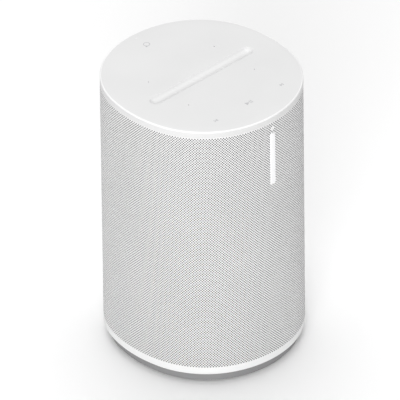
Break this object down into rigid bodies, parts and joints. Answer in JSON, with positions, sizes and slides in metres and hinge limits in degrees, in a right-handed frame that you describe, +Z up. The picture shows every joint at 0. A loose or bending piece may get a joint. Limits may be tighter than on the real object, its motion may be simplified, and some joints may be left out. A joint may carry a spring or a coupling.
{
  "type": "smart speaker",
  "caption": "Upright oval smart speaker: perforated shell, touch top with a long shallow volume trough, plinth, rear panel of ports, and woofer and angled tweeters inside.",
  "frame": {"origin": "centre of the footprint, on the surface that the foot ring stands on", "axes": "+Z up, -Y to the front with the badge, +X to the right as seen from the front"},
  "size_m": [0.12, 0.1267, 0.189],
  "materials": {
    "white_grille": "fine matt moulding with a field of small round holes",
    "white_top": "fine matt moulding with a touch surface",
    "badge_white": "smooth white moulding",
    "grey_base": "matt light grey moulding",
    "foot_rubber": "matt grey silicone",
    "screen_cloth": "thin woven screen",
    "white_panel": "fine matt moulding",
    "white_button": "smooth moulding with a soft edge",
    "grey_knob": "ribbed moulding",
    "black_plastic": "matt black moulding",
    "plated_pin": "nickel plated",
    "stamped_steel": "stamped and plated",
    "light_pipe": "clear diffusing plastic",
    "led": "moulded package",
    "touch_film": "amber film with printed electrodes",
    "board_green": "solder mask over glass laminate",
    "part_black": "moulded packages",
    "foam_rubber": "black rubber foam",
    "box_plastic": "black moulding",
    "guide_plastic": "fine black moulding",
    "basket_steel": "black coated pressing",
    "ferrite": "sintered ferrite",
    "plated_steel": "zinc plated",
    "cone_paper": "pressed paper pulp",
    "copper": "enamelled copper winding",
    "spider_cloth": "resin cloth",
    "dome_silk": "coated silk",
    "heat_sink_alloy": "extruded fins",
    "ribbon_film": "amber flexible circuit",
    "lead_black": "insulated lead",
    "screw_steel": "zinc plated"
  },
  "bodies": {
    "housing": {"antennas": "board_green", "badge": "badge_white", "baffle": "box_plastic", "baffle_screws": "screw_steel", "base": "grey_base", "base_screws": "screw_steel", "board_screws": "screw_steel", "box_gasket": "foam_rubber", "cap": "white_top", "cap_screws": "screw_steel", "carrier": "box_plastic", "dust_screen": "screen_cloth", "foot_ring": "foot_rubber", "heat_sink": "heat_sink_alloy", "inlet_pins": "plated_pin", "leds": "led", "left_tweeter_motor": "plated_steel", "left_tweeter_roll": "dome_silk", "left_waveguide": "guide_plastic", "light_pipes": "light_pipe", "main_board": "board_green", "main_board_parts": "part_black", "mic_gaskets": "foam_rubber", "microphones": "stamped_steel", "port_board": "board_green", "power_board": "board_green", "power_board_parts": "part_black", "power_inlet": "black_plastic", "power_leads": "lead_black", "rear_panel": "white_panel", "ribbon": "ribbon_film", "right_tweeter_motor": "plated_steel", "right_tweeter_roll": "dome_silk", "right_waveguide": "guide_plastic", "shell": "white_grille", "speaker_leads": "lead_black", "switches": "part_black", "tie_screws": "screw_steel", "top_board": "board_green", "touch_film": "touch_film", "tweeter_housing": "box_plastic", "usb_socket": "stamped_steel", "waveguide_screws": "screw_steel", "woofer_basket": "basket_steel", "woofer_box": "box_plastic", "woofer_gasket": "foam_rubber", "woofer_magnet": "ferrite", "woofer_screws": "screw_steel", "woofer_spider": "spider_cloth", "woofer_surround": "foam_rubber", "woofer_terminals": "part_black", "woofer_top_plate": "plated_steel", "woofer_yoke": "plated_steel"},
    "button": {"pairing_button": "white_button"},
    "knob": {"mute_knob": "grey_knob"},
    "woofer_diaphragm": {"woofer_cone": "cone_paper", "woofer_dust_cap": "cone_paper", "woofer_coil": "copper"},
    "left_dome": {"left_tweeter_dome": "dome_silk"},
    "right_dome": {"right_tweeter_dome": "dome_silk"}
  },
  "joints": [
    {"name": "button_press", "type": "slide", "parent": "housing", "child": "button", "axis": [0, -1, 0], "range_m": [0, 0.0006], "stiffness_N_per_m": 2500},
    {"name": "mute_slide", "type": "slide", "parent": "housing", "child": "knob", "axis": [1, 0, 0], "range_m": [0, 0.0032]},
    {"name": "woofer_stroke", "type": "slide", "parent": "housing", "child": "woofer_diaphragm", "axis": [0, -1, 0], "range_m": [-0.004, 0.004], "stiffness_N_per_m": 1500, "deforming": ["woofer_surround", "woofer_spider"]},
    {"name": "left_dome_stroke", "type": "slide", "parent": "housing", "child": "left_dome", "axis": [-0.766, -0.6428, 0], "range_m": [-0.0003, 0.0003], "stiffness_N_per_m": 4000, "deforming": ["left_tweeter_roll"]},
    {"name": "right_dome_stroke", "type": "slide", "parent": "housing", "child": "right_dome", "axis": [0.766, -0.6428, 0], "range_m": [-0.0003, 0.0003], "stiffness_N_per_m": 4000, "deforming": ["right_tweeter_roll"]}
  ]
}
